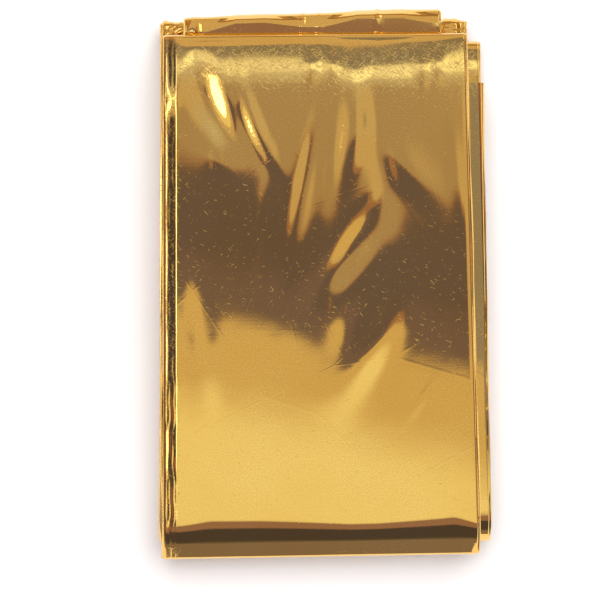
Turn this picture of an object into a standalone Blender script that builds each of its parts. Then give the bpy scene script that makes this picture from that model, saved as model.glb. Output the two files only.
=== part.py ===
"""Emergency foil blanket, folded flat to a pocket-size bundle.

The blanket is one sheet of metallised polyester film, 1.6 m by 2.1 m. It is pleated lengthwise
into a strip as wide as the bundle, and the strip is doubled. That doubled strip, some forty films
with the air between them, is the ply modelled here. The ply is folded in half three more times,
so one closed solid runs back and forth through the bundle as eight plies, a little apart.

Metres, +Z up through the face that shows, +Y towards the end with the standing fold. The origin
is under the middle of the bundle, on the flat underside.
"""
import math
from typing import NamedTuple

import bmesh
import bpy
import numpy as np

# Driving dimensions of the folded bundle.
BUNDLE_THICKNESS = 0.0180
PLY_THICKNESS = 0.0015
TOP_LEVEL = 7

# How finely the ply is cut up: quads across it, along a run, and around a turn.
COLUMNS = 18
FACE_RUN_STEPS = 26
HIDDEN_RUN_STEPS = 7
TURN_STEPS_BASE = 5
COLUMN_CROWDING = 0.55

# The last stretch of the face dips where the ply below it stops short.
FACE_DIP_LEVELS = 0.55
FACE_DIP_START_Y = 0.0452
FACE_DIP_LENGTH = 0.0140

# The bundle is pressed thinner along its two long sides and towards its +Y end.
LEFT_PRESS = 0.095
LEFT_PRESS_START_X = -0.0348
LEFT_PRESS_LENGTH = 0.0045
RIGHT_PRESS = 0.045
RIGHT_PRESS_START_X = 0.0300
RIGHT_PRESS_LENGTH = 0.0080
TOP_PRESS = 0.040
TOP_PRESS_START_Y = 0.0300
TOP_PRESS_LENGTH = 0.0350

# The side edges waver a little along the run.
EDGE_WAVER = 0.00025
EDGE_WAVER_LENGTH = 0.0370

# Colour and finish of the film's gold side.
GOLD_LINEAR = (0.72, 0.46, 0.13, 1.0)
GOLD_ROUGHNESS = 0.12


class Turn(NamedTuple):
    """A place where the ply turns back, or ends, at one end of the bundle."""

    side: int
    level_in: int
    level_out: int
    reach: float
    slant: float
    left: float
    right: float


# side: +1 for the +Y end, -1 for the -Y end. level: 0 is the underside, 7 the face.
# reach: how far the outside of the turn is from the middle, along Y. slant: metres that the
# turn moves along +Y for each metre along +X. left, right: X of the ply's side edges there.
TURNS = (
    #    side  in  out  reach    slant   left      right
    Turn(+1, 7, 7, 0.0585, +0.008, -0.0382, +0.0337),
    Turn(-1, 7, 0, 0.0654, +0.004, -0.0383, +0.0368),
    Turn(+1, 0, 3, 0.0632, +0.006, -0.0391, +0.0341),
    Turn(-1, 3, 4, 0.0549, +0.004, -0.0395, +0.0372),
    Turn(+1, 4, 5, 0.0646, +0.034, -0.0329, +0.0277),
    Turn(-1, 5, 2, 0.0585, +0.004, -0.0378, +0.0376),
    Turn(+1, 2, 1, 0.0583, +0.006, -0.0384, +0.0374),
    Turn(-1, 1, 6, 0.0622, +0.004, -0.0389, +0.0395),
    Turn(+1, 6, 6, 0.0480, -0.004, -0.0376, +0.0377),
)


class Swell(NamedTuple):
    """A long soft ridge, or a trough where its height is negative, pressed through the plies."""

    x: float
    y: float
    heading_deg: float
    length: float
    width: float
    height: float


# heading_deg: direction the ridge runs in, from +X towards +Y. length, width: half-spans at
# which the ridge has faded to a third. height: at the face, fading to nothing at the underside.
SWELLS = (
    Swell(-0.0180, +0.0330, 112.0, 0.0150, 0.0040, +0.00035),
    Swell(-0.0235, +0.0420, 118.0, 0.0140, 0.0045, -0.00030),
    Swell(+0.0110, +0.0260, 100.0, 0.0160, 0.0040, -0.00035),
    Swell(+0.0190, +0.0180, 128.0, 0.0180, 0.0050, +0.00040),
    Swell(+0.0090, -0.0050, 75.0, 0.0200, 0.0050, -0.00030),
    Swell(-0.0080, +0.0020, 98.0, 0.0220, 0.0080, +0.00030),
    Swell(+0.0040, -0.0400, 25.0, 0.0300, 0.0060, +0.00020),
    Swell(+0.0310, -0.0560, 140.0, 0.0060, 0.0035, +0.00045),
    Swell(-0.0270, -0.0570, 30.0, 0.0080, 0.0040, -0.00035),
)


def ease(value):
    """0 below 0, 1 above 1, and a smooth S-shaped rise in between."""
    clipped = np.clip(value, 0.0, 1.0)
    return clipped * clipped * (3.0 - 2.0 * clipped)


LEVEL_PITCH = (BUNDLE_THICKNESS - PLY_THICKNESS) / TOP_LEVEL


def turn_radius(turn):
    """Radius of the ply's middle surface around a turn: half the gap between its two levels."""
    return abs(turn.level_out - turn.level_in) * LEVEL_PITCH / 2


def turn_centre_y(turn):
    """Y of the turn's centre line, or of the cut edge where the ply just ends."""
    radius = turn_radius(turn)
    if radius == 0.0:
        return turn.side * turn.reach
    return turn.side * (turn.reach - PLY_THICKNESS / 2 - radius)


def ply_stations():
    """Stations along the ply's path: rows of y, level, slant, left and right.

    Each turn is a half circle: y is the centre plus the radius times a sine, and the level
    follows a cosine from the level in to the level out. A run is a straight line from one
    turn's centre to the next one's, and its slant and side edges change evenly along it.
    """
    rows = []
    for index, turn in enumerate(TURNS):
        centre = turn_centre_y(turn)
        radius = turn_radius(turn)
        edges = [turn.slant, turn.left, turn.right]
        if radius == 0.0:
            rows.append([centre, turn.level_in, *edges])
        else:
            steps = TURN_STEPS_BASE + abs(turn.level_out - turn.level_in)
            middle = (turn.level_in + turn.level_out) / 2
            half = (turn.level_in - turn.level_out) / 2
            for step in range(steps + 1):
                angle = math.pi * step / steps
                y = centre + turn.side * radius * math.sin(angle)
                rows.append([y, middle + half * math.cos(angle), *edges])
        if index + 1 < len(TURNS):
            following = TURNS[index + 1]
            start = np.array(rows[-1])
            end = np.array([turn_centre_y(following), following.level_in,
                            following.slant, following.left, following.right])
            steps = FACE_RUN_STEPS if index == 0 else HIDDEN_RUN_STEPS
            for step in range(1, steps):
                rows.append(list(start + (end - start) * step / steps))
    return np.array(rows)


def face_dip(y, level):
    """Levels by which the face's last stretch hangs lower; nothing for the plies below it."""
    is_face = ease(level - (TOP_LEVEL - 1))
    return is_face * FACE_DIP_LEVELS * ease((y - FACE_DIP_START_Y) / FACE_DIP_LENGTH)


def face_height(x, y):
    """Height of the face's middle surface above that of the underside.

    It is the full height, times 1 less the presses along the sides and the +Y end, plus the
    swells. A swell is its height times a bell curve across it and another along it.
    """
    press = LEFT_PRESS * ease((LEFT_PRESS_START_X - x) / LEFT_PRESS_LENGTH)
    press += RIGHT_PRESS * ease((x - RIGHT_PRESS_START_X) / RIGHT_PRESS_LENGTH)
    press += TOP_PRESS * ease((y - TOP_PRESS_START_Y) / TOP_PRESS_LENGTH)
    height = TOP_LEVEL * LEVEL_PITCH * (1.0 - press)
    for swell in SWELLS:
        heading = math.radians(swell.heading_deg)
        along = (x - swell.x) * math.cos(heading) + (y - swell.y) * math.sin(heading)
        across = (y - swell.y) * math.cos(heading) - (x - swell.x) * math.sin(heading)
        fade = np.exp(-(along / swell.length) ** 2 - (across / swell.width) ** 2)
        height = height + swell.height * fade
    return height


def place_on_fold(across, stations):
    """Points of the ply's middle surface, a row of them for each station along its path.

    x runs from the left edge to the right edge, with the columns crowded towards both, and both
    edges shift by a sine of y. y is the station's, moved by the slant. z is the share of the
    face's height that the level has.
    """
    y, level, slant, left, right = (stations[:, [i]] for i in range(5))
    crowded = across - COLUMN_CROWDING * np.sin(2 * math.pi * across) / (2 * math.pi)
    waver = EDGE_WAVER * np.sin(2 * math.pi * y / EDGE_WAVER_LENGTH + level)
    x = left + (right - left) * crowded + waver
    y = y + slant * x
    level = level - face_dip(y, level)
    z = PLY_THICKNESS / 2 + level / TOP_LEVEL * face_height(x, y)
    return np.stack([x, y, z], axis=-1)


def gold_film():
    """The film's gold side: a smooth, bright metal coating under clear polyester."""
    material = bpy.data.materials.new("gold_film")
    material.use_nodes = True
    shader = material.node_tree.nodes["Principled BSDF"]
    shader.inputs["Base Color"].default_value = GOLD_LINEAR
    shader.inputs["Metallic"].default_value = 1.0
    shader.inputs["Roughness"].default_value = GOLD_ROUGHNESS
    material.diffuse_color = GOLD_LINEAR
    return material


def foil_blanket(collection):
    """The folded ply: a flat grid laid along the fold's path, then given its thickness."""
    stations = ply_stations()
    across = np.linspace(0.0, 1.0, COLUMNS + 1)[None, :]
    points = place_on_fold(across, stations)
    low, high = points.min(axis=(0, 1)), points.max(axis=(0, 1))
    points[..., :2] -= (low + high)[:2] / 2

    grid = bmesh.new()
    bmesh.ops.create_grid(grid, x_segments=COLUMNS, y_segments=len(stations) - 1, size=0.5)
    grid.verts.ensure_lookup_table()
    for vert in grid.verts:
        column = round((vert.co.x + 0.5) * COLUMNS)
        row = round((vert.co.y + 0.5) * (len(stations) - 1))
        vert.co = points[row, column]
    mesh = bpy.data.meshes.new("foil_blanket")
    grid.to_mesh(mesh)
    grid.free()
    mesh.shade_smooth()
    mesh.materials.append(gold_film())

    blanket = bpy.data.objects.new("foil_blanket", mesh)
    collection.objects.link(blanket)
    wall = blanket.modifiers.new("ply_thickness", "SOLIDIFY")
    wall.thickness = PLY_THICKNESS
    wall.offset = 0.0
    return blanket


def main():
    for old in list(bpy.data.objects):
        bpy.data.objects.remove(old, do_unlink=True)
    collection = bpy.data.collections.new("emergency_foil_blanket")
    bpy.context.scene.collection.children.link(collection)
    foil_blanket(collection)


main()
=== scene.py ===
import math
from typing import NamedTuple

import bpy
import numpy as np
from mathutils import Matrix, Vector


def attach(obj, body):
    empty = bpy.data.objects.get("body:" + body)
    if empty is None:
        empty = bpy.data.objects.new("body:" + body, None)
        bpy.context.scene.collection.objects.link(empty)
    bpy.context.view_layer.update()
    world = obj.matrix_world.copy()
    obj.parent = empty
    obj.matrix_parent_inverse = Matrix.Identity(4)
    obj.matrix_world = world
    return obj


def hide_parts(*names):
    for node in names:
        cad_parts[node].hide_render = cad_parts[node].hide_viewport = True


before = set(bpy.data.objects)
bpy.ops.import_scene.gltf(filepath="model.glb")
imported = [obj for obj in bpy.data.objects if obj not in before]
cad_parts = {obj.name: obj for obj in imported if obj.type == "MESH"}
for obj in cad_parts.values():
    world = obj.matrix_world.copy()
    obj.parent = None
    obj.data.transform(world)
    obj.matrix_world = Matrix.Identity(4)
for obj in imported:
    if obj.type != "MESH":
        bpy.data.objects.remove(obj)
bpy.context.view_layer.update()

MM = 0.001

# The cut of the film, in metres, and how it is folded.
LEAVES = 10  # each leaf is two films, because the sheet is halved before it is pleated
FILMS = 2 * LEAVES

# The bundle: full height, height of one ply, and the level of the ply that shows.
BUNDLE_HEIGHT = 18.0 * MM
PLY_HEIGHT = 1.80 * MM
TOP_LEVEL = 7
LEVEL_PITCH = (BUNDLE_HEIGHT - PLY_HEIGHT) / TOP_LEVEL


class Turn(NamedTuple):
    """A place where the ply turns back, or ends, at one end of the bundle, and its next run."""

    side: int
    level_in: int
    level_out: int
    reach: float
    slant: float
    left: float
    right: float
    turn_steps: int
    near_steps: int
    run_steps: int
    back_turn_steps: int
    back_run_steps: int


# side: +1 for the +Y end. level: 0 the underside, 7 the face. reach: outside of the turn from
# the middle, along Y. slant: how far the turn moves along +Y for each metre along +X. left,
# right: X of the ply's side edges. The steps are rows of the film: round the turn, over the
# first NEAR_RUN of the run that follows, over the rest of it, and the same on the inner side.
NEAR_RUN = 7.0 * MM
TURNS = (
    Turn(+1, 7, 7, 58.5 * MM, +0.008, -38.2 * MM, 33.7 * MM, 0, 10, 100, 0, 6),
    Turn(-1, 7, 0, 65.3 * MM, +0.018, -38.3 * MM, 36.8 * MM, 32, 0, 34, 8, 6),
    Turn(+1, 0, 3, 63.2 * MM, +0.006, -38.8 * MM, 34.1 * MM, 20, 9, 5, 6, 6),
    Turn(-1, 3, 4, 54.9 * MM, +0.004, -39.1 * MM, 37.2 * MM, 7, 0, 10, 4, 6),
    Turn(+1, 4, 5, 64.6 * MM, +0.034, -32.9 * MM, 27.7 * MM, 14, 14, 8, 4, 6),
    Turn(-1, 5, 2, 58.5 * MM, +0.004, -37.8 * MM, 37.6 * MM, 10, 0, 6, 6, 6),
    Turn(+1, 2, 1, 58.3 * MM, +0.006, -38.4 * MM, 37.4 * MM, 7, 0, 6, 4, 6),
    Turn(-1, 1, 6, 62.2 * MM, +0.004, -38.9 * MM, 39.5 * MM, 16, 0, 6, 8, 8),
    Turn(+1, 6, 6, 48.0 * MM, -0.004, -37.6 * MM, 37.7 * MM, 0, 0, 0, 0, 0),
)
FACE, ROLL, LOBE, STRIP = 0, 1, 2, 4  # rows of TURNS that show from above

# The face's last stretch dips where the ply below it stops short.
FACE_DIP_LEVELS = 0.50
FACE_DIP_START = 46.0 * MM
FACE_DIP_LENGTH = 12.5 * MM
DIP_LIMIT = 1.2  # lengths after which the dip, or the drop, goes no deeper
# How much deeper or shallower the dip is at a few X, in millimetres.
DIP_X = (-38.0, -27.0, -6.0, 0.0, 5.0, 13.0, 18.0, 23.0, 28.0, 33.0)
DIP_SHARE = (1.00, 0.95, 0.95, 1.05, 1.32, 1.34, 1.22, 1.05, 0.86, 0.70)
# The face's very edge drops once more, from a slanting line, except at its left end.
EDGE_DROP_LEVELS = 0.22
EDGE_DROP_START = 57.2 * MM
EDGE_DROP_SLANT = 0.030
EDGE_DROP_LENGTH = 1.6 * MM
EDGE_DROP_LEFT = -36.0 * MM
EDGE_DROP_FADE = 5.0 * MM

# The bundle is thickest in the middle: the share of its height lost at this distance along Y.
CROWN = 0.065
CROWN_SPAN = 65.0 * MM
TWIST = -0.25  # metres of height for each square metre of X times Y

# The bundle falls away along its two long sides: how far, in millimetres, at a few X. On the
# right, the line where it starts slants with the ply's edge, by this much X for each Y.
FALL_X = (-40.0, -38.5, -37.6, -37.2, -35.0, 34.2, 35.2, 38.2, 40.5)
FALL = (2.00, 1.13, 0.69, 0.66, 0.00, 0.00, 0.05, 0.47, 1.85)
RIGHT_FALL_SLANT = 0.025


class Swell(NamedTuple):
    """A long soft ridge, or a trough where its height is negative, on the outermost film."""

    x: float
    y: float
    heading: float
    length: float
    width: float
    height: float
    lean: float = 0.0
    bow: float = 0.0


# Millimetres, and degrees from +X towards +Y. length and width are where it fades to a third.
# lean: the share by which its left flank is wider and its right one narrower. bow: how far
# both its ends curve off to the right.
FILM_SWELLS = (
    # Two long folds at the upper left, each a trough and the ridge beside it, and four small
    # ridges around them, the last one on the left edge.
    Swell(-27.4, 43.4, 114, 11, 4.0, -0.48, 0.0, 1.5),
    Swell(-22.2, 42.6, 114, 12, 3.2, +0.25, 0.0, 1.5),
    Swell(-18.7, 37.6, 112, 8, 1.8, -0.22, 0.0, 0.6),
    Swell(-16.6, 38.0, 112, 9, 1.7, +0.19, 0.0, 0.6),
    Swell(-20.0, 31.5, 0, 6, 6, +0.05),
    Swell(-25.4, 29.5, 95, 5, 1.8, +0.09),
    Swell(-33.6, 50.5, 80, 6, 1.2, +0.10),
    Swell(-39.2, 43.6, 90, 3, 2.6, +0.70),
    # Troughs and ridges that hang down from the upper middle.
    Swell(-14.3, 18.5, 82, 13, 1.3, +0.064),
    Swell(-4.2, 24.0, 79, 17, 2.3, -0.20),
    Swell(1.9, 28.7, 84, 12, 2.4, -0.17),
    Swell(7.6, 38.8, 87, 12, 3.4, +0.26, 0.18, -1.6),
    Swell(13.8, 30.5, 100, 14, 3.2, -0.21),
    Swell(18.2, 29.0, 135, 11, 4.0, +0.12),
    Swell(31.7, 25.6, 95, 8, 1.5, +0.08),
    # Short ridges in the dip by the face's end.
    Swell(-3.0, 51.6, 88, 3.4, 1.3, +0.20),
    Swell(2.0, 52.0, 92, 3.2, 1.1, +0.17),
    Swell(23.6, 51.6, 93, 3.4, 1.2, +0.20),
    Swell(27.0, 52.0, 92, 3.2, 1.1, +0.19),
    # A deep diagonal trough in the middle.
    Swell(6.6, 8.2, 57, 11, 3.4, -0.27, -0.20),
    # Ridges and troughs that rise from the lower middle and the lower edges.
    Swell(11.8, -15.2, 61, 11, 3.8, +0.25, 0.1),
    Swell(3.4, -5.0, 88, 9, 2.6, +0.12),
    Swell(2.0, -24.9, 90, 9, 6.0, +0.05),
    Swell(-31.2, -9.9, 92, 9, 1.8, -0.10),
    Swell(-26.5, -21.1, 90, 9, 2.2, +0.08),
    Swell(23.0, -28.0, 55, 4, 0.9, +0.025),
)
FILM_LIFT = 0.25 * MM  # the outermost film lies this much looser than the ones inside it
# The relief fades out down the roll: the level where it is gone, and how many levels it takes.
ROLL_RELIEF_LEVEL = 3.5
ROLL_RELIEF_LEVELS = 3.0
# The lift is nothing at a film's very edges, and in full from one part in 300 of its width in.
EDGE_FADE_RATE = 300.0
OUTER_SIDE = 0.9  # rows whose normal is past this lie on the ply's outer side

# The strip of the ply below that shows past the face's +Y end. Its outermost film stands up to
# a crest, whose place wanders: the crest's Y at a few X, in millimetres.
CREST_X = (-34.0, -28.0, -21.0, -14.0, -5.0, 0.0, 8.0, 19.0, 25.0, 29.0)
CREST_Y = (60.0, 60.1, 62.1, 62.3, 61.3, 61.3, 63.2, 63.4, 62.4, 62.2)
# Vertical creases across the strip.
STRIP_SWELLS = (
    Swell(-4.9, 61.3, 90, 3.5, 0.5, +0.27),
    Swell(-1.1, 61.2, 88, 3.5, 0.5, +0.24),
    Swell(13.1, 61.8, 93, 4.0, 0.6, +0.34),
)
STRIP_WALL_Y = 58.0 * MM
STRIP_END_Y = 65.2 * MM
STRIP_END_SLANT = 0.034
STRIP_SLOPE = 0.22
STRIP_TOP_LEVEL = 4.4  # the strip's turn is above this level where it shows
# The creases are in full after a 6th of the rise, and until the last 4th of the fall.
STRIP_CREASE_IN = 6.0
STRIP_CREASE_OUT = 4.0
# Rows between these two Y are drawn together at the crest, this far to each side of it.
CREST_ROWS = (61.0 * MM, 62.6 * MM)
CREST_GAP = 0.10 * MM
STRIP_TURN_Y = 63.7 * MM

# Crumples at the two ends of the strip and on the corners of the lobe below it.
CORNER_SWELLS = (
    Swell(-38.2, 60.8, 92, 2.6, 0.9, +0.45),
    Swell(-35.8, 59.2, 10, 2.0, 0.9, +0.40),
    Swell(-34.6, 61.6, 150, 2.0, 1.0, -0.40),
    Swell(-31.8, 60.9, 60, 2.0, 0.9, +0.35),
    Swell(-29.8, 60.0, 95, 1.8, 0.7, +0.40),
    Swell(29.4, 61.6, 20, 1.7, 1.3, +0.50),
    Swell(31.8, 62.0, 105, 2.0, 0.8, +0.45),
    Swell(33.2, 60.2, 80, 2.0, 0.8, -0.40),
    Swell(30.6, 59.3, 5, 2.0, 0.8, +0.35),
)
CRUMPLE_LEFT = -33.4 * MM
CRUMPLE_RIGHT = 28.2 * MM
CRUMPLE_FADE = 1.0 * MM
CRUMPLE_HEIGHT = 0.40 * MM
CRUMPLE_START_Y = 57.0 * MM
CRUMPLE_START_LENGTH = 1.5 * MM
CRUMPLE_LEVEL = 1.2
CRUMPLE_LEVEL_SHIFT = 2.6  # millimetres that the pattern moves along Y for each level


class Crumple(NamedTuple):
    """One set of sharp folds: its share, and how its phase turns, bends and leans."""

    share: float
    rate: float
    bend: float
    bend_rate: float
    lean: float


# Rates are in radians for each millimetre. The first set runs along X, the second along Y.
CRUMPLE_ALONG_X = Crumple(0.5, 1.3, 0.9, 1.1, 0.7)
CRUMPLE_ALONG_Y = Crumple(0.6, 1.2, 1.1, 0.8, -0.9)

# Three turns are pressed flat over a band: the slope of the band.
BANDS = {ROLL: math.radians(40.0), LOBE: math.radians(31.0), STRIP: math.radians(28.0)}
BAND_ROWS = np.array([0.05, 0.35, 0.65, 0.95, 1.0])  # rows across a band, as shares of it
WALL_GAP = 0.01  # radians from the band's end to the first row on the upright line past it

# How far the roll's upper edge wanders along Y at a few X, in millimetres.
ROLL_EDGE_X = (-37.6, -31.7, -27.0, -15.0, -5.6, 6.3, 13.4, 22.9, 27.7, 31.2, 34.8, 36.7)
ROLL_EDGE_Y = (-0.8, 0.1, 1.0, 0.9, 0.4, -0.4, -0.3, 0.4, 0.8, 1.2, -0.1, -0.8)
ROLL_FADE_Y = -45.0 * MM
ROLL_FADE_LENGTH = 8.0 * MM

# Fine wrinkles run along the pressed left edge. Lengths are in millimetres, and rates in radians
# for each millimetre. Each bend moves the phase by its size, at its rate along the edge.
WRINKLE_HEIGHT = 0.014 * MM
WRINKLE_START_X = -33.6
WRINKLE_START_WIDTH = 1.6
WRINKLE_RATE = 5.2
WRINKLE_BENDS = ((1.4, 0.27), (0.7, 0.83))
# They come and go by this much about their mean, at these rates, and grow towards the roll.
WRINKLE_MEAN, WRINKLE_SWING = 0.55, 0.45
SWING_ALONG, SWING_START = 0.41, 1.1
SWING_ACROSS, SWING_SLANT = 1.9, 0.17
WRINKLE_GROWTH = 2.5
WRINKLE_GROWTH_Y = -8.0
WRINKLE_GROWTH_LENGTH = 30.0


def ease(value):
    """0 below 0, 1 above 1, and a smooth S-shaped rise in between."""
    clipped = np.clip(value, 0.0, 1.0)
    return clipped * clipped * (3.0 - 2.0 * clipped)


def relief(x, y, swells):
    """Sum of the swells: each is its height times a bell curve across it and one along it.

    The distance across is measured from the swell's bowed line, and the bell across it has one
    width on its left side and another on its right.
    """
    total = 0.0 * x * y
    for swell in swells:
        heading = math.radians(swell.heading)
        over, up = x / MM - swell.x, y / MM - swell.y
        along = (over * math.cos(heading) + up * math.sin(heading)) / swell.length
        across = up * math.cos(heading) - over * math.sin(heading) + swell.bow * along ** 2
        width = swell.width * (1.0 + swell.lean * np.sign(across))
        total = total + swell.height * MM * np.exp(-along ** 2 - (across / width) ** 2)
    return total


def bundle_height(x, y):
    """Height of the top level above the lowest: a crowned, twisted plane with falling sides.

    The crown takes off a share that grows with the square of y, the twist adds a share of x
    times y, and the fall is read off its table.
    """
    full = TOP_LEVEL * LEVEL_PITCH
    height = full * (1.0 - CROWN * (y / CROWN_SPAN) ** 2) + TWIST * x * y
    straightened = (x + RIGHT_FALL_SLANT * y * (x > 0.0)) / MM
    return height - np.interp(straightened, FALL_X, FALL) * MM


def turn_section(steps, band, rising):
    """Angles of a turn's rows, how far out each is in radii, and the angle turned through.

    A plain turn is a half circle: a sine of the angle. A banded one follows the circle to the
    band's slope, a straight line at that slope to its full reach, and then an upright one; its
    rows are close together at the two ends of the band. The band is on the turn's upper side.
    """
    if not band:
        angle = np.linspace(0.0, math.pi, steps + 1)
        return angle, np.sin(angle), angle
    stop = math.acos(math.cos(band) - (1.0 - math.sin(band)) * math.tan(band))
    part = steps // 3
    angle = np.concatenate([
        np.linspace(0.0, band, part),
        band + (stop - band) * BAND_ROWS,
        np.linspace(stop + WALL_GAP, math.pi, steps + 1 - part - len(BAND_ROWS))])
    line = math.sin(band) + (math.cos(band) - np.cos(angle)) / math.tan(band)
    upper = (angle > band) & (angle < math.pi / 2)
    wall = np.where(angle > stop + WALL_GAP / 2, math.pi / 2, band)
    reach = np.where(upper, np.minimum(line, 1.0), np.sin(angle))
    turned = np.where(upper, wall, angle)
    if rising:
        return math.pi - angle[::-1], reach[::-1], math.pi - turned[::-1]
    return angle, reach, turned


def ply_path(outer):
    """Stations along the ply: y, level, heading_y, heading_z, slant, left, right, owner.

    Round a turn, y adds the radius times the section's reach, and the level follows a cosine. A
    run is straight between two turns. The heading is the direction of travel in the Y-Z plane.
    owner is the row of TURNS that a station belongs to, as part of the turn or its run.
    """
    parts = []
    centre = None
    for index, turn in enumerate(TURNS):
        half = (turn.level_in - turn.level_out) / 2
        radius = abs(half) * LEVEL_PITCH
        before = centre
        if half:
            centre = turn.side * (turn.reach - PLY_HEIGHT / 2 - radius)
            steps = turn.turn_steps if outer else turn.back_turn_steps
            band = BANDS.get(index) if outer else None
            angle, reach, turned = turn_section(steps, band, half < 0.0)
            heading_y = turn.side * np.cos(turned)
            heading_z = -np.sign(half) * np.sin(turned)
        else:
            centre = turn.side * turn.reach
            angle = reach = np.zeros(1)
            heading_y = np.full(1, -turn.side if index == 0 else turn.side)
            heading_z = np.zeros(1)
        if index:
            last = TURNS[index - 1]
            near = min(NEAR_RUN / abs(centre - before), 1.0) if outer and last.near_steps else 0.0
            close = np.linspace(0.0, near, (last.near_steps if outer else 0) + 1)[1:]
            run_steps = last.run_steps if outer else last.back_run_steps
            rest = np.linspace(0.0, 1.0, run_steps + 1)[1:-1]
            if index > 1:
                rest = (1.0 - np.cos(math.pi * rest)) / 2
            along = np.concatenate([close, near + (1.0 - near) * rest])
            flat = np.ones_like(along)
            parts.append(np.stack([
                before + (centre - before) * along,
                turn.level_in * flat,
                turn.side * flat,
                0.0 * flat,
                last.slant + (turn.slant - last.slant) * along,
                last.left + (turn.left - last.left) * along,
                last.right + (turn.right - last.right) * along,
                (index - 1) * flat,
            ], axis=1))
        flat = np.ones_like(angle)
        parts.append(np.stack([
            centre + turn.side * radius * reach,
            (turn.level_in + turn.level_out) / 2 + half * np.cos(angle),
            heading_y, heading_z,
            turn.slant * flat, turn.left * flat, turn.right * flat, index * flat,
        ], axis=1))
    return np.concatenate(parts)


def film_rows():
    """Rows of the sheet along its length: the ply's outer side, the doubling, the inner side.

    Two more columns say how the films stand off the ply's middle surface: normal, the cosine,
    and onward, the sine, of the angle turned through at the doubling.
    """
    out = ply_path(outer=True)[::-1]
    back = ply_path(outer=False)
    angle = np.linspace(0.0, math.pi, DOUBLING_STEPS + 1)[1:-1]
    doubling = np.repeat(back[:1], len(angle), axis=0)
    turned = np.concatenate([np.zeros(len(out)), angle, np.full(len(back), math.pi)])
    rows = np.concatenate([out, doubling, back])
    return np.column_stack([rows, np.cos(turned), np.sin(turned)])


FACE_COLUMNS = 134
# Most of a face's width is cut evenly, and its two edges finer: share of the columns, and place.
COLUMN_SHARE = (0.0, 0.13, 0.93, 1.0)
COLUMN_PLACE = (0.0, 0.055, 0.97, 1.0)
# A hidden film is flat from edge to edge, with a column close to each edge to keep it so.
HIDDEN_COLUMNS = np.array([0.0, 0.0015, 0.9985, 1.0])
DOUBLING_STEPS = 7
# The leaves' edges are out of line by a sine of the leaf and level, and a smaller one of y.
EDGE_SCATTER = 0.32 * MM
RIGHT_SCATTER_SHARE = 1.3
SCATTER_LEAF, SCATTER_LEVEL = 2.4, 1.3
WAVER_SHARE = 0.5
WAVER_LENGTH = 9.0 * MM
WAVER_LEAF = 1.7
# The columns that film_rows and film_columns give, by number.
OWNER, NORMAL = 7, 8
FACE_FLAG = 4


def film_columns():
    """Columns of the sheet across its width: across, stand_off, leaf, bulge, face.

    The halved sheet zigzags from leaf 0, in the ply's middle, out to leaf 9 and back again as
    the second film. across is 0 at the left edge and 1 at the right; bulge is how far a side
    fold stands out beyond the edge; face is 1 on the film that shows.
    """
    order = [(leaf, 0) for leaf in range(LEAVES)]
    order += [(leaf, 1) for leaf in reversed(range(LEAVES))]
    columns = []
    for leaf, second in order:
        rightward = (leaf % 2 == 1) != bool(second)
        film = 2 * leaf + (1 if rightward else 0)
        face = film == FILMS - 1
        across = HIDDEN_COLUMNS
        if face:
            even = np.linspace(0.0, 1.0, FACE_COLUMNS + 1)
            across = np.interp(even, COLUMN_SHARE, COLUMN_PLACE)
        if not rightward:
            across = across[::-1]
        stand_off = (film + 0.5) / FILMS * PLY_HEIGHT / 2
        flat = np.ones_like(across)
        if columns:
            before = columns[-1][-1]
            middle = (before[1] + stand_off) / 2
            bulge = abs(before[1] - stand_off) / 2
            columns.append(np.array([[across[0], middle, (before[2] + leaf) / 2, bulge, 0.0]]))
        columns.append(np.stack([across, stand_off * flat, leaf * flat, 0.0 * flat,
                                 float(face) * flat], axis=1))
    return np.concatenate(columns)


def follow_crest(x, y, slant):
    """How far the strip's rows slide along Y, so that a few lie on the crest.

    The rows between CREST_ROWS are drawn together at the crest's line, the row under the face's
    end stays, and the row at the turn's end keeps the turn's slant. Between these, the slide
    changes evenly along Y.
    """
    crest = np.interp(x / MM, CREST_X, CREST_Y) * MM
    first, last = CREST_ROWS
    rising = np.clip((y - STRIP_WALL_Y) / (first - STRIP_WALL_Y), 0.0, 1.0)
    over = np.clip((y - first) / (last - first), 0.0, 1.0)
    falling = np.clip((y - last) / (STRIP_TURN_Y - last), 0.0, 1.0)
    at_first, at_last = crest - CREST_GAP - first, crest + CREST_GAP - last
    slide = at_first * rising + (at_last - at_first) * over
    return slide + (slant * x - at_last) * falling


def strip_lift(x, y):
    """How far the strip's outermost film stands up: a straight rise, then a falling parabola.

    It starts at the face's end, reaches the crest at an even slope, and falls back to nothing
    at the strip's outer edge.
    """
    crest = np.interp(x / MM, CREST_X, CREST_Y) * MM
    rise = np.clip((y - STRIP_WALL_Y) / (crest - STRIP_WALL_Y), 0.0, 1.0)
    end = STRIP_END_Y + STRIP_END_SLANT * x
    fall = 1.0 - np.clip((y - crest) / (end - crest), 0.0, 1.0)
    stand = STRIP_SLOPE * (crest - STRIP_WALL_Y) * rise * fall ** 2
    shown = ease(STRIP_CREASE_IN * rise) * ease(STRIP_CREASE_OUT * fall)
    return stand + shown * relief(x, y, STRIP_SWELLS)


def roll_edge(x, y, owner, level, face):
    """How far the roll's upper edge slides along Y: in full at its start, fading both ways.

    Down the roll it fades evenly to the outside. The film that shows wanders, and the ones
    inside it all slide as far as it does at most.
    """
    wander = np.interp(x / MM, ROLL_EDGE_X, ROLL_EDGE_Y) * MM
    wander = np.where(face > 0.0, wander, max(ROLL_EDGE_Y) * MM)
    on_face = (owner == FACE) * ease((ROLL_FADE_Y - y) / ROLL_FADE_LENGTH)
    from_outside = (TURNS[ROLL].reach - PLY_HEIGHT / 2 + y) / (TOP_LEVEL * LEVEL_PITCH / 2)
    on_roll = (owner == ROLL) * (level > TOP_LEVEL / 2) * np.clip(from_outside, 0.0, 1.0)
    return wander * (on_face + on_roll)


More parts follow.
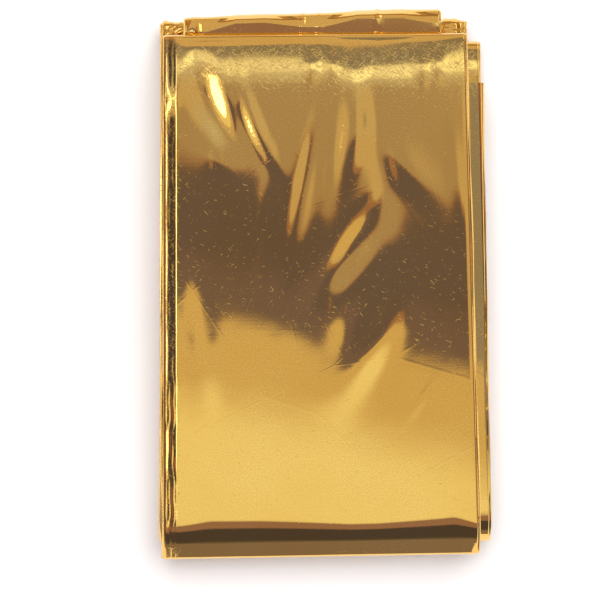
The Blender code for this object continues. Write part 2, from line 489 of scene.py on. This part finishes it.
def edge_wrinkles(x, y):
    """Fine long wrinkles on the pressed left edge: a sine of x with a phase that wanders with y.

    A second, slower product of sines makes them come and go along the edge, and they grow
    taller towards the roll.
    """
    across, along = x / MM, y / MM
    shown = ease((WRINKLE_START_X - across) / WRINKLE_START_WIDTH)
    phase = WRINKLE_RATE * across
    for size, rate in WRINKLE_BENDS:
        phase = phase + size * np.sin(rate * along)
    swing = WRINKLE_SWING * np.sin(SWING_ALONG * along + SWING_START)
    comes = WRINKLE_MEAN + swing * np.sin(SWING_ACROSS * across + SWING_SLANT * along)
    growth = ease((WRINKLE_GROWTH_Y - along) / WRINKLE_GROWTH_LENGTH)
    comes = comes * (1.0 + WRINKLE_GROWTH * growth)
    return WRINKLE_HEIGHT * shown * comes * np.sin(phase)


def folded_sine(main, other, crumple):
    """1 less the size of a sine, which gives sharp ridges between round hollows.

    The sine is of main times its rate, plus a sine of other and a share of other.
    """
    bent = crumple.bend * np.sin(crumple.bend_rate * other)
    phase = crumple.rate * main + bent + crumple.lean * other
    return crumple.share * (1.0 - np.abs(np.sin(phase)))


def crumple_lift(x, y, level):
    """Crumples on the lobe's two corners: two crossing sets of folded sines, and a few swells."""
    corner = ease((CRUMPLE_LEFT - x) / CRUMPLE_FADE) + ease((x - CRUMPLE_RIGHT) / CRUMPLE_FADE)
    across, along = x / MM, y / MM - CRUMPLE_LEVEL_SHIFT * level
    folds = folded_sine(across, along, CRUMPLE_ALONG_X)
    folds = folds + folded_sine(along, across, CRUMPLE_ALONG_Y)
    from_start = ease((y - CRUMPLE_START_Y) / CRUMPLE_START_LENGTH)
    shown = corner * from_start * ease(level - CRUMPLE_LEVEL)
    return shown * (CRUMPLE_HEIGHT * folds + relief(x, y, CORNER_SWELLS))


def face_dip(x, y, level):
    """Levels by which the face's last stretch hangs lower: a parabola, and another at its edge."""
    share = np.interp(x / MM, DIP_X, DIP_SHARE)
    reach = np.clip((y - FACE_DIP_START) / FACE_DIP_LENGTH, 0.0, DIP_LIMIT)
    dip = FACE_DIP_LEVELS * share * reach ** 2
    start = EDGE_DROP_START + EDGE_DROP_SLANT * x
    drop = np.clip((y - start) / EDGE_DROP_LENGTH, 0.0, DIP_LIMIT) ** 2
    drop = drop * EDGE_DROP_LEVELS * ease((x - EDGE_DROP_LEFT) / EDGE_DROP_FADE)
    return ease(level - (TOP_LEVEL - 1)) * (dip + drop)


def film_points(rows, columns):
    """The sheet's points, one for each row and column.

    x goes from the leaf's left edge to its right edge; each leaf's edges lie a little out of
    line, by two sines of its number and of y. y and z are the ply's middle surface, plus the
    stand-off along the section's normal (or, at the doubling, turning onward past the end).
    """
    y, level, head_y, head_z, slant, left, right, owner, normal, onward = (
        rows[:, [i]] for i in range(rows.shape[1]))
    across, stand_off, leaf, bulge, face = (columns[None, :, i] for i in range(5))
    waver = WAVER_SHARE * np.sin(y / WAVER_LENGTH + WAVER_LEAF * leaf)
    reach_out = EDGE_SCATTER * (1.0 - face) * (
        np.sin(SCATTER_LEAF * leaf + SCATTER_LEVEL * level) + waver)
    x_left = left - reach_out
    x_right = right + reach_out * RIGHT_SCATTER_SHARE
    x = x_left + (x_right - x_left) * across + bulge * (2.0 * np.round(across) - 1.0)
    on_strip = (owner == STRIP) & (normal > OUTER_SIDE) & (level > STRIP_TOP_LEVEL)
    slide = roll_edge(x, y, owner, level, face)
    y = y + np.where(on_strip, follow_crest(x, y, slant), slant * x) + slide
    z = PLY_HEIGHT / 2 + (level - face_dip(x, y, level)) / TOP_LEVEL * bundle_height(x, y)
    edge_fade = np.clip(np.minimum(across, 1.0 - across) * EDGE_FADE_RATE, 0.0, 1.0)
    on_roll = np.where(owner == ROLL, ease((level - ROLL_RELIEF_LEVEL) / ROLL_RELIEF_LEVELS), 0.0)
    shown = np.where(owner == FACE, 1.0, on_roll)
    lift = shown * (FILM_LIFT + relief(x, y, FILM_SWELLS) + edge_wrinkles(x, y))
    lift = lift + np.where(owner == STRIP, strip_lift(x, y) + relief(x, y, CORNER_SWELLS), 0.0)
    lift = lift + np.where(owner == LOBE, crumple_lift(x, y, level), 0.0)
    stand = stand_off + face * (normal > OUTER_SIDE) * edge_fade * lift
    normal_y, normal_z = head_z, -head_y
    y = y + stand * (normal * normal_y - onward * head_y)
    z = z + stand * (normal * normal_z - onward * head_z)
    return np.stack([x, y, z], axis=-1)


# Shares of the bake map: of a row on the face or roll, on the strip, and elsewhere, and then
# what every row and every column gets, and what a column of the face gets on top.
FACE_ROW_SHARE, STRIP_ROW_SHARE, HIDDEN_ROW_SHARE = 5.0, 3.0, 1.0
LEAST_ROW_SHARE = 0.15
LEAST_COLUMN_SHARE = 0.10
FACE_COLUMN_SHARE = 0.9


def bake_layout(rows, columns):
    """A map of the whole sheet on the unit square: the films that show get most of its room.

    Its rows and columns are running sums of their shares, scaled to end at 1.
    """
    owner = rows[1:, OWNER]
    row_share = np.where(owner == STRIP, STRIP_ROW_SHARE, HIDDEN_ROW_SHARE)
    row_share = np.where(owner <= ROLL, FACE_ROW_SHARE, row_share)
    row_steps = row_share * (rows[1:, NORMAL] > 0.0) + LEAST_ROW_SHARE
    column_steps = LEAST_COLUMN_SHARE + FACE_COLUMN_SHARE * columns[1:, FACE_FLAG]
    v = np.concatenate([[0.0], np.cumsum(row_steps)])
    u = np.concatenate([[0.0], np.cumsum(column_steps)])
    u, v = np.meshgrid(u / u[-1], v / v[-1])
    return np.stack([u, v], axis=-1)


def film_lengths(points):
    """Metres along and across the sheet at each point: running sums of the grid's steps."""
    across = np.linalg.norm(np.diff(points, axis=1), axis=-1)
    along = np.linalg.norm(np.diff(points, axis=0), axis=-1)
    face_column = points.shape[1] // 2
    u = np.concatenate([[0.0], np.cumsum(across.mean(axis=0))])
    v = np.concatenate([[0.0], np.cumsum(along[:, face_column])])
    u, v = np.meshgrid(u, v)
    return np.stack([u, v], axis=-1)


def linear(hex_colour):
    """A colour given as sRGB hex, turned linear."""
    srgb = np.array([int(hex_colour[i:i + 2], 16) for i in (1, 3, 5)]) / 255
    low, high = srgb / 12.92, ((srgb + 0.055) / 1.055) ** 2.4
    return (*np.where(srgb <= 0.04045, low, high).tolist(), 1.0)


def add_node(tree, kind, inputs=None, **settings):
    """Adds a node, sets its properties, and sets or links its inputs."""
    node = tree.nodes.new(kind)
    for name, value in settings.items():
        setattr(node, name, value)
    for name, value in (inputs or {}).items():
        if isinstance(value, bpy.types.NodeSocket):
            tree.links.new(value, node.inputs[name])
        else:
            node.inputs[name].default_value = value
    return node


# The colour sockets of a Mix node, by number: they share their names with its other sockets.
MIX_A, MIX_B, MIX_RESULT = 6, 7, 2

# Real sizes of the film's patterns, in metres.
CREASE_SPACING = 26.0 * MM  # between the fine long creases that handling leaves
CREASE_LENGTH = 110.0 * MM
CREASE_WIDTH = 0.22 * MM
CREASE_DEPTH = 0.0008 * MM
CREASE_ANGLES = (28.0, -64.0)
WAVE = 7.0 * MM  # soft waves between them
WAVE_DEPTH = 0.006 * MM
GRAIN = 0.36 * MM  # the coating's grain is finer; this is as coarse as it needs to show
GRAIN_DEPTH = 0.0005 * MM
DRAW_LINE = 0.8 * MM  # faint lines across the web, from the rollers it was wound on
DRAW_DEPTH = 0.0004 * MM
DRAW_STRETCH = 0.03  # how fast a line changes along itself, beside how fast across
SCRATCH_ANGLES = (38.0, -47.0, 71.0)
SCRATCH_WIDTH = 0.22 * MM
SCRATCH_LENGTH = 2.6 * MM
SCRATCH_DEPTH = 0.0055 * MM
LACQUER_PATCH = 28.0 * MM
HAZE_PATCH = 12.0 * MM
# The face is scuffed from these places on, in full at the second, and not past the end.
SCUFF_FROM_Y, SCUFF_TO_Y, SCUFF_END_Y = 40.0 * MM, 50.0 * MM, 58.6 * MM
SCUFF_FROM_X, SCUFF_TO_X = -33.0 * MM, -36.0 * MM
SCUFFED, UNSCUFFED = 0.60, 0.705  # level of the noise from which a scratch shows
SCRATCH_FULL = 0.12  # how far past that level it is in full

# The lacquer's tints: plain, deeper in patches, and deeper still in the grain's hollows.
LACQUER, LACQUER_DEEP, LACQUER_GRAIN = "#F8D27A", "#F1C567", "#EABF6B"
# Roughness of the smoothest and the haziest film, and what a scratch adds.
SMOOTH, HAZY, SCRATCH_HAZE = 0.028, 0.045, 0.18
# Noise mostly lies between these.
NOISE_LOW, NOISE_HIGH = 0.35, 0.65
HAZE_NOISE_HIGH = 0.70


def gold_film_material():
    """Polyester film, vacuum-coated with aluminium and lacquered gold on the side that shows.

    It mirrors what is around it, a little hazy. Handling leaves a net of fine creases, which
    bend the mirror image; the rollers leave faint lines across it; and it is scuffed near the
    fold at the end and on its left edge. The lacquer is a shade deeper in patches and in the
    hollows of its grain.
    """
    material = bpy.data.materials.new("gold_metallised_film")
    material.use_nodes = True
    tree = material.node_tree
    shader = tree.nodes["Principled BSDF"]
    film = add_node(tree, "ShaderNodeUVMap", uv_map="film").outputs["UV"]

    creases = None
    for angle in CREASE_ANGLES:
        turned = add_node(tree, "ShaderNodeMapping", {
            "Vector": film, "Rotation": (0.0, 0.0, math.radians(angle)),
            "Scale": (CREASE_LENGTH, CREASE_SPACING, 1.0)}, vector_type="TEXTURE")
        line = add_node(tree, "ShaderNodeTexVoronoi", {"Vector": turned.outputs[0], "Scale": 1.0},
                        feature="DISTANCE_TO_EDGE")
        line = add_node(tree, "ShaderNodeMapRange", {
            "Value": line.outputs["Distance"], "From Min": CREASE_WIDTH / CREASE_SPACING,
            "From Max": 0.0}, interpolation_type="SMOOTHSTEP").outputs[0]
        if creases is None:
            creases = line
        else:
            creases = add_node(tree, "ShaderNodeMath", {0: creases, 1: line},
                               operation="MAXIMUM").outputs[0]

    grain = add_node(tree, "ShaderNodeTexNoise", {
        "Vector": film, "Scale": 1.0 / GRAIN, "Detail": 1.0}).outputs["Fac"]
    lines = add_node(tree, "ShaderNodeMapping", {"Vector": film, "Scale": (DRAW_STRETCH, 1.0, 1.0)})
    lines = add_node(tree, "ShaderNodeTexNoise", {
        "Vector": lines.outputs[0], "Scale": 1.0 / DRAW_LINE, "Detail": 1.0}).outputs["Fac"]

    place = add_node(tree, "ShaderNodeTexCoord").outputs["Object"]
    place = add_node(tree, "ShaderNodeSeparateXYZ", {0: place})
    at_end = add_node(tree, "ShaderNodeMapRange", {
        "Value": place.outputs["Y"], "From Min": SCUFF_FROM_Y, "From Max": SCUFF_TO_Y},
        interpolation_type="SMOOTHSTEP")
    on_face = add_node(tree, "ShaderNodeMapRange", {
        "Value": place.outputs["Y"], "From Min": SCUFF_END_Y, "From Max": SCUFF_END_Y - MM})
    at_end = add_node(tree, "ShaderNodeMath", {
        0: at_end.outputs[0], 1: on_face.outputs[0]}, operation="MULTIPLY")
    at_edge = add_node(tree, "ShaderNodeMapRange", {
        "Value": place.outputs["X"], "From Min": SCUFF_FROM_X, "From Max": SCUFF_TO_X},
        interpolation_type="SMOOTHSTEP")
    scuffed = add_node(tree, "ShaderNodeMath", {
        0: at_end.outputs[0], 1: at_edge.outputs[0]}, operation="MAXIMUM").outputs[0]
    scratches = None
    for angle in SCRATCH_ANGLES:
        turned = add_node(tree, "ShaderNodeMapping", {
            "Vector": film, "Rotation": (0.0, 0.0, math.radians(angle)),
            "Location": (angle, 0.0, 0.0),
            "Scale": (SCRATCH_WIDTH, SCRATCH_LENGTH, 1.0)}, vector_type="TEXTURE")
        dash = add_node(tree, "ShaderNodeTexNoise", {"Vector": turned.outputs[0], "Scale": 1.0})
        dash = add_node(tree, "ShaderNodeMath", {
            0: scuffed, 1: UNSCUFFED - SCUFFED, 2: dash.outputs["Fac"]}, operation="MULTIPLY_ADD")
        dash = add_node(tree, "ShaderNodeMapRange", {
            "Value": dash.outputs[0], "From Min": UNSCUFFED,
            "From Max": UNSCUFFED + SCRATCH_FULL}).outputs[0]
        if scratches is None:
            scratches = dash
        else:
            scratches = add_node(tree, "ShaderNodeMath", {0: scratches, 1: dash},
                                 operation="MAXIMUM").outputs[0]

    waves = add_node(tree, "ShaderNodeTexNoise", {
        "Vector": film, "Scale": 1.0 / WAVE, "Detail": 1.0}).outputs["Fac"]

    normal = None
    for height, depth in ((waves, WAVE_DEPTH), (creases, CREASE_DEPTH), (grain, GRAIN_DEPTH),
                          (lines, DRAW_DEPTH), (scratches, SCRATCH_DEPTH)):
        bump = add_node(tree, "ShaderNodeBump", {"Height": height, "Distance": depth})
        if normal is not None:
            tree.links.new(normal, bump.inputs["Normal"])
        normal = bump.outputs["Normal"]
    tree.links.new(normal, shader.inputs["Normal"])

    haze = add_node(tree, "ShaderNodeTexNoise", {
        "Vector": film, "Scale": 1.0 / HAZE_PATCH, "Detail": 4.0})
    haze = add_node(tree, "ShaderNodeMapRange", {
        "Value": haze.outputs["Fac"], "From Min": NOISE_LOW, "From Max": HAZE_NOISE_HIGH,
        "To Min": SMOOTH, "To Max": HAZY})
    haze = add_node(tree, "ShaderNodeMath", {
        0: scratches, 1: SCRATCH_HAZE, 2: haze.outputs[0]}, operation="MULTIPLY_ADD")
    tree.links.new(haze.outputs[0], shader.inputs["Roughness"])

    patch = add_node(tree, "ShaderNodeTexNoise", {
        "Vector": film, "Scale": 1.0 / LACQUER_PATCH, "Detail": 3.0})
    patch = add_node(tree, "ShaderNodeMapRange", {
        "Value": patch.outputs["Fac"], "From Min": NOISE_LOW, "From Max": NOISE_HIGH})
    lacquer = add_node(tree, "ShaderNodeMix", {
        "Factor": patch.outputs[0], MIX_A: linear(LACQUER), MIX_B: linear(LACQUER_DEEP)},
        data_type="RGBA")
    mottle = add_node(tree, "ShaderNodeMapRange", {
        "Value": grain, "From Min": NOISE_LOW, "From Max": NOISE_HIGH})
    lacquer = add_node(tree, "ShaderNodeMix", {
        "Factor": mottle.outputs[0], MIX_A: linear(LACQUER_GRAIN),
        MIX_B: lacquer.outputs[MIX_RESULT]}, data_type="RGBA")
    tree.links.new(lacquer.outputs[MIX_RESULT], shader.inputs["Base Color"])
    shader.inputs["Metallic"].default_value = 1.0
    return material


def grid_mesh(name, points, maps):
    """A mesh of quads through a grid of points, facing the way that rows cross columns."""
    rows, columns = points.shape[:2]
    index = np.arange(rows * columns).reshape(rows, columns)
    quads = np.stack([index[:-1, :-1], index[:-1, 1:], index[1:, 1:], index[1:, :-1]], axis=-1)
    quads = quads.reshape(-1, 4)
    mesh = bpy.data.meshes.new(name)
    mesh.vertices.add(rows * columns)
    mesh.vertices.foreach_set("co", points.reshape(-1).astype(np.float32))
    mesh.loops.add(quads.size)
    mesh.loops.foreach_set("vertex_index", quads.reshape(-1).astype(np.int32))
    mesh.polygons.add(len(quads))
    mesh.polygons.foreach_set("loop_start", np.arange(0, quads.size, 4, dtype=np.int32))
    mesh.update(calc_edges=True)
    for map_name, coords in maps.items():
        layer = mesh.uv_layers.new(name=map_name)
        corners = coords.reshape(-1, 2)[quads.reshape(-1)]
        layer.data.foreach_set("uv", corners.reshape(-1).astype(np.float32))
    mesh.shade_smooth()
    return mesh


def foil_film():
    """The whole blanket as one open sheet of film, laid along its folds."""
    rows, columns = film_rows(), film_columns()
    points = film_points(rows, columns)
    maps = {"film": film_lengths(points), "OFBake": bake_layout(rows, columns)}
    mesh = grid_mesh("foil_film", points, maps)
    mesh.materials.append(gold_film_material())
    film = bpy.data.objects.new("foil_film", mesh)
    bpy.context.scene.collection.objects.link(film)
    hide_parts("foil_blanket")
    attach(film, "root")


FLOOR_HALF = 6.0
FLOOR_DROP = 0.1 * MM
FLOOR_COLOUR = "#F4F4F4"
FLOOR_ROUGHNESS = 0.9


def floor():
    """A plain pale floor of matt paint, just under the part."""
    mesh = bpy.data.meshes.new("floor")
    corners = [(x * FLOOR_HALF, y * FLOOR_HALF, -FLOOR_DROP)
               for x, y in ((-1, -1), (1, -1), (1, 1), (-1, 1))]
    mesh.from_pydata(corners, [], [(0, 1, 2, 3)])
    material = bpy.data.materials.new("pale_floor")
    material.use_nodes = True
    shader = material.node_tree.nodes["Principled BSDF"]
    shader.inputs["Base Color"].default_value = linear(FLOOR_COLOUR)
    shader.inputs["Roughness"].default_value = FLOOR_ROUGHNESS
    mesh.materials.append(material)
    plane = bpy.data.objects.new("floor", mesh)
    bpy.context.scene.collection.objects.link(plane)


class Card(NamedTuple):
    """A soft-edged card or flag overhead, as the part sees it.

    a and b are its place, sideways and along the part, as tangents of the angle from straight
    up; half_a and half_b are its half-spans; soft is the width of its edge.
    """

    name: str
    a: float
    b: float
    half_a: float
    half_b: float
    soft: float
    colour: str
    strength: float


# Each card covers the ones before it.
CARDS = (
    Card("ceiling", 0.0, 0.06, 0.60, 0.30, 0.05, "#FFF0E1", 0.64),
    Card("ceiling_middle", 0.0, 0.06, 0.085, 0.12, 0.035, "#FFEDEC", 0.46),
    Card("left_wood", -1.35, 0.0, 0.35, 0.60, 0.05, "#FF9E93", 0.45),
    Card("right_wood", 1.35, 0.0, 0.35, 0.60, 0.05, "#FFA98C", 0.50),
    Card("right_wall", 0.44, -0.04, 0.18, 0.20, 0.015, "#E2E1FF", 0.446),
    Card("back_wood", 0.0, 1.60, 1.70, 1.05, 0.05, "#FFBE82", 0.54),
    Card("back_window", 0.0, 1.49, 0.60, 0.94, 0.04, "#FFEAD3", 0.70),
    Card("back_lamp_right", 0.85, 1.49, 0.18, 0.90, 0.03, "#FFF8E6", 2.2),
    Card("back_flag", 0.0, 0.45, 0.60, 0.11, 0.04, "#E6E4FF", 0.38),
    Card("back_card", 0.0, 0.25, 0.60, 0.08, 0.06, "#F4F4FF", 0.66),
    Card("back_strip", 0.10, 0.28, 0.45, 0.05, 0.03, "#F4F8FF", 1.10),
    Card("back_strip_right", 0.30, 0.28, 0.25, 0.05, 0.03, "#F4FFFF", 1.45),
    Card("back_lamp", -0.28, 0.25, 0.05, 0.11, 0.02, "#FFFFFF", 2.5),
    Card("lower_wall", 0.0, -0.050, 0.30, 0.035, 0.006, "#FFEDCE", 0.72),
    Card("softbox", 0.0, -0.191, 0.60, 0.119, 0.019, "#FFFFEE", 0.97),
    Card("front_wood", 0.0, -0.46, 0.90, 0.18, 0.06, "#FFD6EC", 0.345),
    Card("warm_rim", 0.0, 0.018, 0.100, 0.040, 0.008, "#FFCFCB", 0.38),
    Card("camera_flag", 0.0, 0.015, 0.078, 0.0375, 0.005, "#D8CCFF", 0.23),
    Card("flag_hem", 0.0, -0.008, 0.070, 0.012, 0.010, "#DECBFF", 0.27),
    Card("window_sill", -0.21, 0.0, 0.05, 0.12, 0.01, "#FFF6D8", 0.95),
    Card("window", -0.305, 0.0, 0.070, 0.12, 0.015, "#FFFFFF", 4.0),
    Card("window_top", -0.35, 0.106, 0.14, 0.014, 0.008, "#FFFFFF", 3.0),
)


class Horizon(NamedTuple):
    """What is low around the part, where a level direction's y lies past `start` to `full`.

    top and bottom are the sines of the elevation where it fades in and where it is full.
    """

    name: str
    start: float
    full: float
    top: float
    bottom: float
    colour: str
    strength: float


HORIZONS = (
    Horizon("side_walls", -1.1, -1.05, 0.45, 0.10, "#FFF6EE", 0.36),
    Horizon("back_wall", 0.25, 0.65, 0.45, 0.10, "#FFCF9E", 0.55),
    Horizon("front_wall", -0.70, -0.90, 0.33, 0.26, "#F0E0FF", 0.30),
)
DARK_COLOUR, DARK_STRENGTH = "#D0C9FF", 0.13
LEAST_UP = 0.02  # directions lower than this sine of the elevation count as this high
KEY_STRENGTH = 2.9
KEY_ANGLE = 60.0
KEY_DIRECTION = (0.10, 0.25, 1.0)


def radiance(colour, strength):
    """A colour given as sRGB hex, turned linear and made as strong as given."""
    return [strength * channel for channel in linear(colour)[:3]] + [1.0]


def studio_world():
    """A dim studio with the walls near the horizon, and the cards and flags overhead.

    A direction's place, a and b, is its x and y over its z. A card shows there by a smooth step
    of how far the place lies past the card's half-spans, whichever way it is further past. A
    wall shows by one smooth step of z, times another of the level direction's y.
    """
    world = bpy.data.worlds.new("studio")
    world.use_nodes = True
    tree = world.node_tree
    background = tree.nodes["Background"]
    coords = add_node(tree, "ShaderNodeTexCoord")
    split = add_node(tree, "ShaderNodeSeparateXYZ", {0: coords.outputs["Generated"]})
    up = add_node(tree, "ShaderNodeMath", {
        0: split.outputs["Z"], 1: LEAST_UP}, operation="MAXIMUM")
    a = add_node(tree, "ShaderNodeMath", {
        0: split.outputs["X"], 1: up.outputs[0]}, operation="DIVIDE")
    b = add_node(tree, "ShaderNodeMath", {
        0: split.outputs["Y"], 1: up.outputs[0]}, operation="DIVIDE")
    place = add_node(tree, "ShaderNodeCombineXYZ", {0: a.outputs[0], 1: b.outputs[0]})
    level = add_node(tree, "ShaderNodeCombineXYZ", {0: split.outputs["X"], 1: split.outputs["Y"]})
    heading = add_node(tree, "ShaderNodeVectorMath", {0: level.outputs[0]}, operation="NORMALIZE")
    heading = add_node(tree, "ShaderNodeSeparateXYZ", {0: heading.outputs[0]})

    layers = []
    for wall in HORIZONS:
        low = add_node(tree, "ShaderNodeMapRange", {
            "Value": split.outputs["Z"], "From Min": wall.top, "From Max": wall.bottom},
            interpolation_type="SMOOTHSTEP")
        facing = add_node(tree, "ShaderNodeMapRange", {
            "Value": heading.outputs["Y"], "From Min": wall.start, "From Max": wall.full},
            interpolation_type="SMOOTHSTEP")
        mask = add_node(tree, "ShaderNodeMath", {
            0: low.outputs[0], 1: facing.outputs[0]}, operation="MULTIPLY")
        layers.append((mask, wall))
    for card in CARDS:
        away = add_node(tree, "ShaderNodeVectorMath", {
            0: place.outputs[0], 1: (card.a, card.b, 0.0)}, operation="SUBTRACT")
        away = add_node(tree, "ShaderNodeVectorMath", {0: away.outputs[0]}, operation="ABSOLUTE")
        past = add_node(tree, "ShaderNodeVectorMath", {
            0: away.outputs[0], 1: (card.half_a, card.half_b, 0.0)}, operation="SUBTRACT")
        past = add_node(tree, "ShaderNodeSeparateXYZ", {0: past.outputs[0]})
        edge = add_node(tree, "ShaderNodeMath", {
            0: past.outputs["X"], 1: past.outputs["Y"]}, operation="MAXIMUM")
        mask = add_node(tree, "ShaderNodeMapRange", {
            "Value": edge.outputs[0], "From Min": card.soft, "From Max": -card.soft},
            interpolation_type="SMOOTHSTEP")
        layers.append((mask, card))

    colour = radiance(DARK_COLOUR, DARK_STRENGTH)
    for mask, layer in layers:
        mix = add_node(tree, "ShaderNodeMix", {
            "Factor": mask.outputs[0], MIX_A: colour,
            MIX_B: radiance(layer.colour, layer.strength)}, data_type="RGBA", label=layer.name)
        colour = mix.outputs[MIX_RESULT]
    tree.links.new(colour, background.inputs["Color"])
    bpy.context.scene.world = world


def lights():
    """A distant soft key from nearly overhead, over the studio's own glow."""
    sun = bpy.data.lights.new("key", "SUN")
    sun.energy = KEY_STRENGTH
    sun.angle = math.radians(KEY_ANGLE)
    key = bpy.data.objects.new("key", sun)
    key.rotation_euler = Vector(KEY_DIRECTION).to_track_quat("Z", "Y").to_euler()
    key.location = KEY_DIRECTION
    key.visible_glossy = False  # the film mirrors the cards only
    bpy.context.scene.collection.objects.link(key)
    studio_world()


# The camera looks straight down. One pixel of a 600-pixel frame is 0.2375 mm at the face.
PIXEL = 0.2375 * MM
FRAME_PIXELS = 600
LENS_MM = 200.0
SENSOR_MM = 36.0
CAMERA_X = -5.6 * MM
CAMERA_Y = -4.0 * MM
CLIP_START = 0.02


def camera():
    """A long lens straight above the part, so the frame's sides are a few degrees off."""
    data = bpy.data.cameras.new("camera")
    data.lens = LENS_MM
    data.sensor_width = SENSOR_MM
    data.clip_start = CLIP_START
    view = bpy.data.objects.new("camera", data)
    distance = FRAME_PIXELS * PIXEL * LENS_MM / SENSOR_MM
    view.location = (CAMERA_X, CAMERA_Y, BUNDLE_HEIGHT + distance)
    bpy.context.scene.collection.objects.link(view)
    bpy.context.scene.camera = view


bpy.context.scene.view_settings.view_transform = "Standard"
foil_film()
floor()
lights()
camera()
